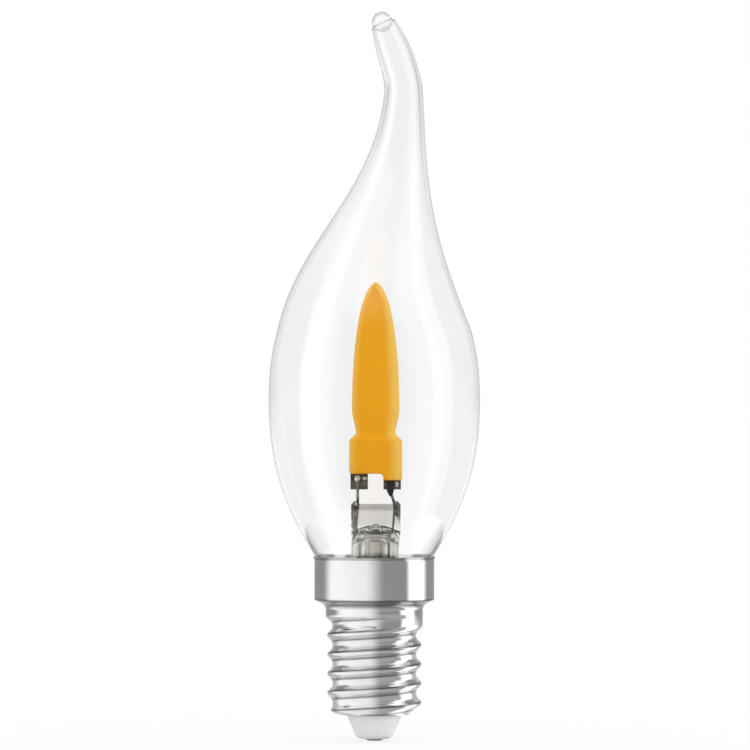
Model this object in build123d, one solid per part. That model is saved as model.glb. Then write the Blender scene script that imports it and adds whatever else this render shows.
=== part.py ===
from build123d import *
import math
import os

# Candle bulb with a bent tip: a blown clear glass envelope on an E14 screw cap. A flame-shaped
# LED strip stands inside on two lead wires, held by a pressed glass stem, and the driver board
# sits in the cap. Millimetres. +Z runs up the screw axis from the face of the centre contact,
# which is the origin. The tip leans to +X, and the strip's soldered face looks to -Y.

# Clearances
PUSH_FIT = 0.05          # radial play of a piece pushed into another
LIP_GAP = 0.1            # between the cap's lip and the glass
WIRE_TOUCH = 0.02        # play between a wire and the face that it lies on

# Centre contact: a turned pin with a low head
CONTACT_FACE_RADIUS = 0.9
CONTACT_HEAD_RADIUS = 1.6
CONTACT_HEAD_HEIGHT = 0.3
CONTACT_SHANK_RADIUS = 0.95
CONTACT_SHANK_LENGTH = 5.6
CONTACT_HOLE_DEPTH = 1.5

# Insulator: a moulded cone under the screw shell
INSULATOR_FACE_RADIUS = 2.6
INSULATOR_EDGE_RADIUS = 0.9
INSULATOR_CONE_HEIGHT = 3.2
INSULATOR_NECK_RADIUS = 4.05
INSULATOR_WALL_HEIGHT = 0.8

# Screw shell: drawn sheet with a rolled E14 thread
SHEET = 0.25
CURL_RADIUS = 1.5
THREAD_PITCH = 2.822
THREAD_CREST_RADIUS = 6.92
THREAD_ROOT_RADIUS = 6.08
THREAD_CREST_WIDTH = 0.36
THREAD_SHOULDER_WIDTH = 0.9
THREAD_SHOULDER_DROP = 0.18
THREAD_BASE_WIDTH = 2.1
THREAD_START = 0.6       # first whole crest above the curl, at +X
THREAD_END_ANGLE = 260   # where the ridge runs out, in degrees from +X
SHELL_WALL_HEIGHT = 11.9
SHELL_NECK_RISE = 1.1
SHELL_NECK_RADIUS = 7.15
SHELL_NECK_HEIGHT = 2.1
SHOULDER_RISE = 0.9
SHOULDER_BEND = 0.5
NECK_BEND = 1.0
SKIRT_RADIUS = 8.82
SKIRT_HEIGHT = 5.55
LIP_HEIGHT = 0.5
LIP_FLARE = 0.18

# Glass envelope: blown in one piece, with a drawn tail that ends in a bead
GLASS = 0.6
CEMENT = 0.4
CEMENT_HEIGHT = 3.2
NECK_DEPTH = 5.5
BELLY_RADIUS = 15.55
BELLY_RISE = 22.75       # from the cap's lip to the widest place
GLOBE_SLOPE = 0.66       # radius gained per height where the glass leaves the cap
GLOBE_LIFT = 7.5         # pull of that slope on the globe's side
GLOBE_SIDE = 8.5         # how far the side stays upright below the belly
CROWN_LENGTH = 27.3      # over which the belly draws in to the tail
CROWN_FULLNESS = 2.4
TAIL_RADIUS = 2.42
LEAN_START = 10.5        # heights above the belly
LEAN_TOP = 46.0
TAIL_TOP = 55.5
LEAN = 4.3
HOOK = 3.0
HOOK_CURVE = 1.4         # power by which the hook tightens
TAIL_END_RADIUS = 1.8
PINCH_LENGTH = 5.0
BEAD_RADIUS = 1.5
BEAD_STANDOFF = 0.4

# Stem: a flared tube with its top pressed flat round the leads
STEM_RADIUS = 3.5
STEM_WALL = 0.8
FLARE_HEIGHT = 5.3
FLARE_RIM = 0.7
STEM_HEIGHT = 13.1       # from the neck's rim to the top of the press
PRESS_WIDTH = 7.3
PRESS_THICKNESS = 2.4
PRESS_HEIGHT = 3.0
PRESS_BLEND = 1.9
EAR_RADIUS = 0.42
EAR_RISE = 0.4
ROOF_DEPTH = 4.3         # from the top of the press down to the hollow's roof

# Exhaust tube: seated in the roof, its lower end melted shut
EXHAUST_RADIUS = 1.5
EXHAUST_BORE = 0.9
EXHAUST_SEAT = 0.5
EXHAUST_LENGTH = 13.8
EXHAUST_TAPER = 2.0
EYE_RADIUS = 0.8
EYE_MOUTH_RADIUS = 1.1

# LED strip: chips on a ceramic plate under a moulded phosphor coat
STRIP_OFFSET = 0.2       # the strip stands this far to +X of the axis
STRIP_STANDOFF = 2.5     # from the press to the plate's feet
PLATE_THICKNESS = 0.5
FOOT_WIDTH = 2.55
FOOT_GAP = 2.3
FOOT_HEIGHT = 2.15
BLOCK_WIDTH = 7.8
BLOCK_HEIGHT = 4.9
WAIST_WIDTH = 5.9
WAIST_RISE = 1.2
PETAL_WIDTH = 7.0
PETAL_RISE = 3.4         # from the waist to the widest place
PETAL_LENGTH = 21.9      # from the waist to the tip
FLAME_SIDE = 8.0         # how far the side stays upright above the widest place
FLAME_TIP = 2.5          # how far the tip stays broad
FLAME_POINT = 0.75       # fall of the tip's shoulders
COAT_FLATNESS = 0.42     # thickness over width
COAT_COVER = 0.6         # from the plate's edge to the coat's edge
COAT_RUN = 0.85          # how much lower the coat reaches on the right foot
CHIP_SIZE = 0.55
CHIP_LENGTH = 0.9
CHIP_HEIGHT = 0.15
CHIP_PITCH = 1.3
CHIP_ROWS = 12

# Strip terminals and joints
TERMINAL_SHEET = 0.15
TERMINAL_HEIGHT = 1.1
SOLDER_WIDTH = 1.2
SOLDER_HEIGHT = 1.4
SOLDER_BULGE = 0.4
DARK_JOINT_HEIGHT = 2.6

# Lead wires
LEAD_RADIUS = 0.225
LEAD_BEND = 0.8
LEAD_SPREAD = 2.15       # from the axis, beside the exhaust tube
LEAD_PRESS_SPREAD = 2.85
LEAD_LAP = 2.6           # length soldered to the board

# Driver board and its components
BOARD_CLEARANCE = 0.9
BOARD_THICKNESS = 1.0
BOARD_HEIGHT = 9.0
BOARD_STANDOFF = 1.2     # from the contact's pin to the board
CHIP_BODY = (4.9, 1.4, 3.9)
CHIP_LEG = 0.4
CHIP_LEG_PITCH = 1.27
CHIP_LEG_REACH = 1.05
CHIP_LEG_THICKNESS = 0.2
CHIP_RISE = 5.1          # centre above the board's lower edge
RECTIFIER_BODY = (2.3, 1.3, 4.0)
RECTIFIER_LEG = 0.6
RECTIFIER_RISE = 4.6
CAPACITOR_RADIUS = 2.0
CAPACITOR_LENGTH = 6.0
CAPACITOR_RISE = 1.8
CAPACITOR_PIN = 0.25
RESISTOR_RADIUS = 0.7
RESISTOR_LENGTH = 3.0
RESISTOR_PIN = 0.25
RESISTOR_RISE = 3.2
HOOKUP_RADIUS = 0.2
HOOKUP_BEND = 0.5

# Heights that follow from the sizes above
seat_z = CONTACT_HEAD_HEIGHT
shell_z = seat_z + INSULATOR_CONE_HEIGHT
curl_z = shell_z + CURL_RADIUS
wall_top_z = curl_z + SHELL_WALL_HEIGHT
shoulder_z = wall_top_z + SHELL_NECK_RISE + SHELL_NECK_HEIGHT
skirt_z = shoulder_z + SHOULDER_RISE
lip_z = skirt_z + SKIRT_HEIGHT + LIP_HEIGHT
neck_z = lip_z - NECK_DEPTH
belly_z = lip_z + BELLY_RISE
tail_z = belly_z + TAIL_TOP
press_z = neck_z + STEM_HEIGHT
roof_z = press_z - ROOF_DEPTH
strip_z = press_z + STRIP_STANDOFF
coat_z = strip_z + FOOT_HEIGHT
block_z = coat_z + BLOCK_HEIGHT
waist_z = block_z + WAIST_RISE
pin_z = seat_z + CONTACT_SHANK_LENGTH
board_z = pin_z + BOARD_STANDOFF
board_top_z = board_z + BOARD_HEIGHT

# Radii and places that follow from the sizes above
mouth_radius = INSULATOR_NECK_RADIUS + PUSH_FIT
bore_radius = THREAD_ROOT_RADIUS - SHEET
neck_radius = SKIRT_RADIUS - SHEET - CEMENT
neck_bore = neck_radius - GLASS
lip_glass_radius = SKIRT_RADIUS + LIP_FLARE - SHEET - LIP_GAP
board_half = bore_radius - BOARD_CLEARANCE
board_face = BOARD_THICKNESS / 2
foot_x = (FOOT_GAP + FOOT_WIDTH) / 2
terminal_face = PLATE_THICKNESS / 2 + TERMINAL_SHEET
terminal_z = strip_z - TERMINAL_SHEET


def turned(*edges):
    """Solid turned round the screw axis from edges drawn as (radius, height)."""
    return revolve(Plane.XZ * make_face(list(edges)), Axis.Z)


def ring(outer, inner, bottom, top):
    """Plain ring about the screw axis."""
    return turned(Polyline((inner, bottom), (outer, bottom), (outer, top), (inner, top), close=True))


def wire(points, radius, bend):
    """Round wire along straight runs joined by arcs."""
    path = FilletPolyline(*points, radius=bend)
    return sweep(Plane(path @ 0, z_dir=path % 0) * Circle(radius), path)


def sheet_profile(inset):
    """The screw shell's outline from mouth to lip, moved in by inset, with its bends rounded."""
    slope = math.atan2(SHOULDER_RISE, SKIRT_RADIUS - SHELL_NECK_RADIUS)
    neck_slope = math.atan2(SHELL_NECK_RISE, SHELL_NECK_RADIUS - THREAD_ROOT_RADIUS)
    lift = inset * math.tan((math.pi / 2 - slope) / 2)
    neck_lift = inset * math.tan((math.pi / 2 - neck_slope) / 2)
    flare_drop = inset * math.tan(math.atan2(LIP_FLARE, LIP_HEIGHT) / 2)
    return FilletPolyline(
        (mouth_radius, shell_z + inset),
        (THREAD_ROOT_RADIUS - inset, shell_z + inset),
        (THREAD_ROOT_RADIUS - inset, wall_top_z + neck_lift),
        (SHELL_NECK_RADIUS - inset, wall_top_z + SHELL_NECK_RISE + neck_lift),
        (SHELL_NECK_RADIUS - inset, shoulder_z + lift),
        (SKIRT_RADIUS - inset, skirt_z + lift),
        (SKIRT_RADIUS - inset, lip_z - LIP_HEIGHT + flare_drop),
        (SKIRT_RADIUS + LIP_FLARE - inset, lip_z),
        radius=[
            CURL_RADIUS - inset,
            SHOULDER_BEND + inset,
            SHOULDER_BEND - inset,
            NECK_BEND + inset,
            SHOULDER_BEND - inset,
            SHOULDER_BEND + inset,
        ],
    )


def filled(profile):
    """Solid inside a profile, closed to the axis at both ends."""
    start = profile @ 0
    end = profile @ 1
    return turned(profile, Polyline(end, (0, end.Y), (0, start.Y), start))


def screw_thread():
    """The rolled ridge: a rounded section swept up a right-handed helix in whole turns.

    The rounded lower end trims its first turn away, and it stops below the shell's neck.
    """
    height = THREAD_CREST_RADIUS - THREAD_ROOT_RADIUS
    start_z = curl_z + THREAD_START - THREAD_PITCH * (2 - THREAD_END_ANGLE / 360)
    turns = math.floor((wall_top_z - start_z) / THREAD_PITCH)
    helix = Helix(THREAD_PITCH, turns * THREAD_PITCH, THREAD_ROOT_RADIUS, center=(0, 0, start_z))
    half = [
        (-SHEET / 2, THREAD_BASE_WIDTH / 2),
        (height - THREAD_SHOULDER_DROP, THREAD_SHOULDER_WIDTH / 2),
        (height, THREAD_CREST_WIDTH / 2),
    ]
    section = half + [(x, -y) for x, y in reversed(half)]
    plane = Plane(helix @ 0, x_dir=(1, 0, 0), z_dir=helix % 0)
    ridge = sweep(plane * make_face(Polyline(*section, close=True)), helix, is_frenet=True)
    clear_radius = THREAD_CREST_RADIUS + SHEET / 2
    rounded_end = FilletPolyline(
        (mouth_radius, shell_z),
        (clear_radius, shell_z),
        (clear_radius, skirt_z),
        radius=CURL_RADIUS + height,
    )
    return Rot(0, 0, THREAD_END_ANGLE) * ridge & filled(rounded_end)


def screw_shell():
    """Lip, skirt, shoulder, threaded wall and turned-in mouth of one sheet."""
    return filled(sheet_profile(0)) + screw_thread() - filled(sheet_profile(SHEET)) - mouth()


def mouth():
    """Round opening that the insulator passes through."""
    return Pos(0, 0, shell_z) * Cylinder(mouth_radius, 2 * SHEET + CURL_RADIUS)


def insulator():
    """Moulded cone with a neck through the mouth and a bevelled rim that seats on the curl."""
    bore = CONTACT_SHANK_RADIUS + PUSH_FIT
    rim_radius = bore_radius - PUSH_FIT
    floor_z = shell_z + SHEET + PUSH_FIT
    top_z = curl_z + INSULATOR_WALL_HEIGHT
    bevel = CURL_RADIUS - SHEET
    cone = FilletPolyline(
        (bore, seat_z),
        (INSULATOR_FACE_RADIUS, seat_z),
        (INSULATOR_NECK_RADIUS, shell_z),
        radius=INSULATOR_EDGE_RADIUS,
    )
    rim = Polyline(
        (INSULATOR_NECK_RADIUS, shell_z),
        (INSULATOR_NECK_RADIUS, floor_z),
        (rim_radius - bevel, floor_z),
        (rim_radius, floor_z + bevel),
        (rim_radius, top_z),
        (bore, top_z),
        (bore, seat_z),
    )
    return turned(cone, rim)


def centre_contact():
    """Pin with a low domed head, drilled at its top for the wire."""
    dome = Spline(
        (CONTACT_FACE_RADIUS, 0),
        (CONTACT_HEAD_RADIUS, seat_z),
        tangents=((1, 0), (0.3, 1)),
    )
    shank = Polyline(
        (CONTACT_HEAD_RADIUS, seat_z),
        (CONTACT_SHANK_RADIUS, seat_z),
        (CONTACT_SHANK_RADIUS, pin_z),
        (0, pin_z),
        (0, 0),
        (CONTACT_FACE_RADIUS, 0),
    )
    hole = Pos(0, 0, pin_z) * Cylinder(HOOKUP_RADIUS + WIRE_TOUCH, 2 * CONTACT_HOLE_DEPTH)
    return turned(dome, shank) - hole


def glass_radius(z):
    """Outside radius above the belly, drawn in to the tail as a bell curve, its end pinched."""
    crown = math.exp(-(((z - belly_z) / CROWN_LENGTH) ** CROWN_FULLNESS))
    radius = TAIL_RADIUS + (BELLY_RADIUS - TAIL_RADIUS) * crown
    pinch = max(0, 1 - (tail_z - z) / PINCH_LENGTH) ** 2
    return radius + (TAIL_END_RADIUS - radius) * pinch


def glass_lean(z):
    """How far the centreline has left the axis: an S-bend to +X, then a hook back."""
    bend = min(1, max(0, (z - belly_z - LEAN_START) / (LEAN_TOP - LEAN_START)))
    hook = max(0, (z - belly_z - LEAN_TOP) / (TAIL_TOP - LEAN_TOP))
    return LEAN * bend**2 * (3 - 2 * bend) - HOOK * hook**HOOK_CURVE


def glass_plane(z):
    """Plane across the glass at a height on its centreline."""
    step = 0.01
    slope = (glass_lean(z + step) - glass_lean(z - step)) / (2 * step)
    return Plane((glass_lean(z), 0, z), x_dir=(0, 1, 0), z_dir=(slope, 0, 1))


def glass_globe(inset):
    """Neck and lower half of the globe, turned, with every radius less by inset."""
    neck = neck_radius - inset
    lip = Vector(lip_glass_radius - inset, lip_z)
    belly = Vector(BELLY_RADIUS - inset, belly_z)
    corner_z = lip_z - (lip.X - neck) / GLOBE_SLOPE
    straight_z = 2 * corner_z - lip_z
    blend = Bezier((neck, straight_z), (neck, corner_z), lip)
    side = Bezier(
        lip,
        lip + Vector(GLOBE_SLOPE, 1) * GLOBE_LIFT,
        belly - Vector(0, GLOBE_SIDE),
        belly,
    )
    core = Polyline(belly, (0, belly_z), (0, neck_z), (neck, neck_z), (neck, straight_z))
    return turned(blend, side, core)


def glass_crown(inset):
    """Upper globe and bent tail, a loft through circles across the centreline."""
    rise = [belly_z + LEAN_TOP * share for share in (0, 0.1, 0.22, 0.36, 0.5, 0.64, 0.78, 0.9, 1)]
    hook = [tail_z - (TAIL_TOP - LEAN_TOP) * share for share in (0.75, 0.5, 0.3, 0.18, 0.08, 0)]
    return loft([glass_plane(z) * Circle(glass_radius(z) - inset) for z in rise + hook])


def glass_envelope():
    """Blown wall with the bead that closes its tail."""
    bead = glass_plane(tail_z) * Pos(0, 0, BEAD_STANDOFF) * Sphere(BEAD_RADIUS)
    globe = glass_globe(0) - glass_globe(GLASS)
    crown = glass_crown(0) - glass_crown(GLASS)
    return globe + crown + bead


def basing_cement():
    """Ring of cement between the straight of the neck and the skirt."""
    bottom = neck_z + CEMENT
    return ring(SKIRT_RADIUS - SHEET, neck_radius + PUSH_FIT, bottom, bottom + CEMENT_HEIGHT)


def flare(outer_radius, inset):
    """Trumpet and tube of the stem, solid, up to the press."""
    foot = (outer_radius, neck_z + FLARE_RIM - inset)
    top = (STEM_RADIUS - inset, neck_z + FLARE_HEIGHT)
    trumpet = Spline(foot, top, tangents=((-1, 0.1), (0, 1)))
    wall_z = roof_z if inset else press_z - PRESS_HEIGHT - PRESS_BLEND
    return turned(
        trumpet,
        Polyline(top, (top[0], wall_z), (0, wall_z), (0, neck_z), (outer_radius, neck_z), foot),
    )


def press():
    """Flat top of the stem, blended from the tube, with an ear at each edge."""
    base_z = press_z - PRESS_HEIGHT
    slab = RectangleRounded(PRESS_WIDTH, PRESS_THICKNESS, PRESS_THICKNESS / 2.2)
    blend = loft([Pos(0, 0, base_z - PRESS_BLEND) * Circle(STEM_RADIUS), Pos(0, 0, base_z) * slab])
    body = blend + extrude(Pos(0, 0, base_z) * slab, PRESS_HEIGHT)
    for side in (-1, 1):
        ear = Pos(side * (PRESS_WIDTH / 2 - EAR_RADIUS), 0, base_z)
        body += ear * extrude(Circle(EAR_RADIUS), PRESS_HEIGHT + EAR_RISE)
    return body


def exhaust_passage():
    """Seat for the exhaust tube, and the eye that opens to the front of the press."""
    seat = Pos(0, 0, roof_z) * Cylinder(EXHAUST_RADIUS, 2 * EXHAUST_SEAT)
    rise = Pos(0, 0, roof_z) * extrude(Circle(EXHAUST_BORE), EXHAUST_SEAT + EYE_RADIUS)
    eye_z = roof_z + EXHAUST_SEAT + EYE_RADIUS
    eye = Plane((0, 0, eye_z), x_dir=(1, 0, 0), z_dir=(0, -1, 0)) * Cone(
        EYE_RADIUS,
        EYE_MOUTH_RADIUS,
        STEM_RADIUS,
        align=(Align.CENTER, Align.CENTER, Align.MIN),
    )
    return seat + rise + eye


def glass_stem(leads):
    """Flare, tube and press, hollow to the roof, with the leads sealed through the press."""
    hollow = flare(neck_bore - STEM_WALL, STEM_WALL)
    return flare(neck_bore, 0) + press() - [hollow, exhaust_passage(), *leads]


def exhaust_tube():
    """Narrow tube from the roof of the stem, drawn to a closed tip."""
    top = roof_z + EXHAUST_SEAT
    tip = top - EXHAUST_LENGTH
    wall = EXHAUST_RADIUS - EXHAUST_BORE
    return turned(
        Polyline(
            (EXHAUST_BORE, top),
            (EXHAUST_RADIUS, top),
            (EXHAUST_RADIUS, tip + EXHAUST_TAPER),
            (wall, tip),
            (0, tip),
            (0, tip + 2 * wall),
            (EXHAUST_BORE, tip + EXHAUST_TAPER + wall),
            close=True,
        )
    )


def flame_half(inset, bottom):
    """Right half of the strip's outline, moved in by inset: block, waist and flame."""
    block = Vector(BLOCK_WIDTH / 2 - inset, block_z - inset)
    waist = Vector(WAIST_WIDTH / 2 - inset, waist_z)
    petal = Vector(PETAL_WIDTH / 2 - inset, waist_z + PETAL_RISE)
    tip = Vector(0, waist_z + PETAL_LENGTH - inset)
    corner = Vector(waist.X, block.Y)
    swell = Vector(0, PETAL_RISE / 3)
    root = Bezier(block, (block + corner) / 2, (waist + corner) / 2, waist)
    cheek = Bezier(waist, waist + swell, petal - swell, petal)
    flame = Bezier(petal, petal + Vector(0, FLAME_SIDE), tip + Vector(FLAME_TIP, -FLAME_POINT), tip)
    stem = Polyline(tip, (0, bottom), (block.X, bottom), block)
    return Plane.XZ * make_face([stem, root, cheek, flame])


def strip_plate():
    """Ceramic plate in the coat's outline, with two feet below it."""
    half = flame_half(COAT_COVER, coat_z)
    outline = half + mirror(half, about=Plane.YZ)
    for side in (-1, 1):
        foot = Rectangle(FOOT_WIDTH, FOOT_HEIGHT + COAT_COVER, align=(Align.CENTER, Align.MIN))
        outline += Plane.XZ * Pos(side * foot_x, strip_z) * foot
    return Pos(STRIP_OFFSET, 0, 0) * extrude(outline, PLATE_THICKNESS / 2, both=True)


def led_chips():
    """One row of chips up the middle of each face of the plate."""
    first_z = waist_z + CHIP_PITCH
    y = (PLATE_THICKNESS + CHIP_HEIGHT) / 2
    chip = Box(CHIP_SIZE, CHIP_HEIGHT, CHIP_LENGTH)
    return [
        Pos(STRIP_OFFSET, face * y, first_z + row * CHIP_PITCH) * chip
        for face in (-1, 1)
        for row in range(CHIP_ROWS)
    ]


def phosphor_coat(plate, chips):
    """Flattened flame moulded round the plate, lower over the right foot."""
    round_flame = revolve(flame_half(0, coat_z - COAT_RUN), Axis.Z)
    coat = Pos(STRIP_OFFSET, 0, 0) * scale(round_flame, by=(1, COAT_FLATNESS, 1))
    short_side = Pos(STRIP_OFFSET + FOOT_GAP / 2, 0, coat_z) * Box(
        BLOCK_WIDTH + FOOT_GAP,
        BLOCK_WIDTH,
        2 * COAT_RUN,
        align=(Align.MAX, Align.CENTER, Align.MAX),
    )
    return coat - [short_side, plate, *chips]


def terminal(side):
    """Sheet folded under a foot and up both its faces."""
    place = Pos(STRIP_OFFSET + side * foot_x, 0, terminal_z)
    align = (Align.CENTER, Align.CENTER, Align.MIN)
    folded = Box(FOOT_WIDTH, 2 * terminal_face, TERMINAL_HEIGHT + TERMINAL_SHEET, align=align)
    inside = Pos(0, 0, TERMINAL_SHEET) * Box(FOOT_WIDTH, PLATE_THICKNESS, TERMINAL_HEIGHT, align=align)
    return place * (folded - inside)


def solder_joint(x, z, height, others):
    """Blob round the end of a lead, shaped to the pieces that it wets."""
    drop = scale(Sphere(SOLDER_WIDTH / 2), by=(1, 2 * SOLDER_BULGE / SOLDER_WIDTH, height / SOLDER_WIDTH))
    return Pos(x, -terminal_face - LEAD_RADIUS, z) * drop - others


def lead_wire(side, exit_x, joint_x, end_z):
    """Lead from the board, up beside the exhaust tube, through the press to a foot's face."""
    board_y = -board_face - LEAD_RADIUS - WIRE_TOUCH
    foot_y = -terminal_face - LEAD_RADIUS - WIRE_TOUCH
    pad_x = side * (board_half - 4 * LEAD_RADIUS - BOARD_CLEARANCE)
    bend_z = board_top_z + LEAD_BEND
    points = [
        (pad_x, board_y, board_top_z - LEAD_LAP),
        (pad_x, board_y, bend_z),
        (side * LEAD_SPREAD, 0, neck_z - LEAD_BEND),
        (side * LEAD_SPREAD, 0, roof_z - LEAD_BEND),
        (side * LEAD_PRESS_SPREAD, 0, press_z - PRESS_HEIGHT),
        (exit_x, 0, press_z),
        (joint_x, foot_y, terminal_z - LEAD_BEND / 2),
        (joint_x, foot_y, end_z),
    ]
    return wire(points, LEAD_RADIUS, LEAD_BEND)


def driver_board():
    """Upright board across the middle of the threaded wall."""
    blank = Box(2 * board_half, BOARD_THICKNESS, BOARD_HEIGHT, align=(Align.CENTER, Align.CENTER, Align.MIN))
    return Pos(0, 0, board_z) * blank


def legged_body(size, leg_width, places, reach):
    """Moulded body on the board's face with flat legs above and below, drawn for the -Y face."""
    width, depth, height = size
    body = Pos(0, -board_face - depth / 2, 0) * chamfer(Box(width, depth, height).edges(), CHIP_LEG_THICKNESS)
    leg = Box(leg_width, CHIP_LEG_THICKNESS, height + 2 * reach)
    for x in places:
        body += Pos(x, -board_face - CHIP_LEG_THICKNESS / 2, 0) * leg
    return body


def driver_chip():
    """Eight-legged driver on the front of the board."""
    places = [CHIP_LEG_PITCH * (leg - 1.5) for leg in range(4)]
    return Pos(0, 0, board_z + CHIP_RISE) * legged_body(CHIP_BODY, CHIP_LEG, places, CHIP_LEG_REACH)


def rectifier():
    """Four-legged bridge on the back of the board, beside the capacitor."""
    places = [-RECTIFIER_BODY[0] / 4, RECTIFIER_BODY[0] / 4]
    bridge = legged_body(RECTIFIER_BODY, RECTIFIER_LEG, places, RECTIFIER_LEG)
    x = -CAPACITOR_RADIUS - RECTIFIER_BODY[0] / 2 - PUSH_FIT
    return Pos(x, 0, board_z + RECTIFIER_RISE) * Rot(0, 0, 180) * bridge


def capacitor():
    """Can with a beaded end, lying along the back of the board, and its two bent pins."""
    bottom = board_z + CAPACITOR_RISE
    y = board_face + CAPACITOR_RADIUS
    groove = CAPACITOR_RADIUS / 8
    can = chamfer(extrude(Circle(CAPACITOR_RADIUS), CAPACITOR_LENGTH).edges(), groove)
    bead = ring(CAPACITOR_RADIUS + groove, CAPACITOR_RADIUS - groove / 2, 3 * groove, 4 * groove)
    can = Pos(0, y, bottom) * (can - bead)
    run = bottom - 4 * CAPACITOR_PIN
    for side in (-1, 1):
        x = side * CAPACITOR_RADIUS / 2
        points = [(x, y, bottom + CAPACITOR_PIN), (x, y, run), (x, board_face, run)]
        can += wire(points, CAPACITOR_PIN, 2 * CAPACITOR_PIN)
    return can


def fuse_resistor():
    """Small axial resistor on the back of the board, its pins bent down to the face."""
    x = CAPACITOR_RADIUS + RESISTOR_RADIUS + PUSH_FIT + RESISTOR_PIN
    y = board_face + RESISTOR_RADIUS + PUSH_FIT
    z = board_z + RESISTOR_RISE
    body = chamfer(Cylinder(RESISTOR_RADIUS, RESISTOR_LENGTH).edges(), RESISTOR_RADIUS / 3)
    reach = RESISTOR_LENGTH / 2 + 4 * RESISTOR_PIN
    points = [(x, board_face, z - reach), (x, y, z - reach), (x, y, z + reach), (x, board_face, z + reach)]
    return Pos(x, y, z) * body + wire(points, RESISTOR_PIN, 2 * RESISTOR_PIN)


def contact_wire():
    """Short wire from the pin's drilled top to the front of the board."""
    y = -board_face - HOOKUP_RADIUS - WIRE_TOUCH
    points = [
        (0, 0, pin_z - CONTACT_HOLE_DEPTH + WIRE_TOUCH),
        (0, 0, pin_z + HOOKUP_BEND / 2),
        (0, y, board_z - HOOKUP_BEND / 2),
        (0, y, board_z + 2 * HOOKUP_BEND),
    ]
    return wire(points, HOOKUP_RADIUS, HOOKUP_BEND / 2)


def shell_wire():
    """Wire from the back of the board to the inside of the shell's neck."""
    y = board_face + HOOKUP_RADIUS + WIRE_TOUCH
    pad_x = board_half - 4 * HOOKUP_RADIUS
    wall_x = math.sqrt((SHELL_NECK_RADIUS - SHEET - HOOKUP_RADIUS - WIRE_TOUCH) ** 2 - y**2)
    points = [
        (pad_x, y, board_top_z - LEAD_LAP),
        (pad_x, y, board_top_z + HOOKUP_BEND),
        (wall_x, y, wall_top_z + SHELL_NECK_RISE + 2 * HOOKUP_BEND),
        (wall_x, y, shoulder_z),
    ]
    return wire(points, HOOKUP_RADIUS, HOOKUP_BEND)


def bulb():
    """Every piece by its node's name."""
    left_x = STRIP_OFFSET - foot_x - LEAD_RADIUS
    right_x = STRIP_OFFSET + foot_x - LEAD_RADIUS
    terminal_top = terminal_z + TERMINAL_SHEET + TERMINAL_HEIGHT
    left_lead = lead_wire(-1, left_x, left_x, terminal_top + LEAD_RADIUS)
    right_lead = lead_wire(1, LEAD_PRESS_SPREAD + LEAD_RADIUS, right_x, terminal_top)
    plate = strip_plate()
    chips = led_chips()
    coat = phosphor_coat(plate, chips)
    left_terminal = terminal(-1)
    right_terminal = terminal(1)
    left_joint = solder_joint(left_x, terminal_top, SOLDER_HEIGHT, [left_lead, left_terminal, plate, coat])
    right_joint = solder_joint(
        right_x,
        terminal_z + LEAD_RADIUS,
        DARK_JOINT_HEIGHT,
        [right_lead, right_terminal, plate, coat],
    )
    return {
        "glass_envelope": glass_envelope(),
        "glass_stem": glass_stem([left_lead, right_lead]),
        "exhaust_tube": exhaust_tube(),
        "lead_wire_left": left_lead,
        "lead_wire_right": right_lead,
        "strip_plate": plate,
        "led_chips": Compound(children=chips),
        "phosphor_coat": coat,
        "terminal_left": left_terminal,
        "terminal_right": right_terminal,
        "solder_left": left_joint,
        "solder_right": right_joint,
        "screw_shell": screw_shell(),
        "basing_cement": basing_cement(),
        "cap_insulator": insulator(),
        "centre_contact": centre_contact(),
        "driver_board": driver_board(),
        "driver_chip": driver_chip(),
        "rectifier": rectifier(),
        "capacitor": capacitor(),
        "fuse_resistor": fuse_resistor(),
        "contact_wire": contact_wire(),
        "shell_wire": shell_wire(),
    }


os.makedirs("parts", exist_ok=True)
for node, solid in bulb().items():
    export_step(solid, f"parts/{node}.step")
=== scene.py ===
import bpy
import numpy as np
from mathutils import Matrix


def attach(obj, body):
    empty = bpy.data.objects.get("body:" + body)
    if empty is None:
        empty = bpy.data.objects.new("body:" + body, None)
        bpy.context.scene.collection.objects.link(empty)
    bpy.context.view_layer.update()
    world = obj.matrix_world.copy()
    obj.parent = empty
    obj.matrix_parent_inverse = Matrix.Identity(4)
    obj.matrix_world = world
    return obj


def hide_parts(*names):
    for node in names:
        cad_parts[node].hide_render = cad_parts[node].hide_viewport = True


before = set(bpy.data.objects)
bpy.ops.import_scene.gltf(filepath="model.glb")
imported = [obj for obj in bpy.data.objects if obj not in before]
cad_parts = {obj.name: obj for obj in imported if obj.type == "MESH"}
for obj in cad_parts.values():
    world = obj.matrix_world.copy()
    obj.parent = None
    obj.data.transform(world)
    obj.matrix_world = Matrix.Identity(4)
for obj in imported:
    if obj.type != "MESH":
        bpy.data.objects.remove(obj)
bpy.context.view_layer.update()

# Centre contact. A pin turned from plated steel with a low domed head, which the lampholder's
# spring presses on. It is pushed through the middle of the insulator.

MM = 0.001
NEAR_AXIS = 0.02
HEAD_FACE, HEAD_RADIUS, HEAD_HEIGHT = 0.9, 1.6, 0.3
PIN_RADIUS, PIN_TOP = 0.95, 5.88
HEAD_DOME, HEAD_EDGE, HEAD_ROOT, PIN_EDGE = 0.9, 0.05, 0.04, 0.15
BUMP_DEPTH = 0.05 * MM
MIX_A, MIX_B, MIX_OUT = 6, 7, 2  # a Mix node's sockets for colours


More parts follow.
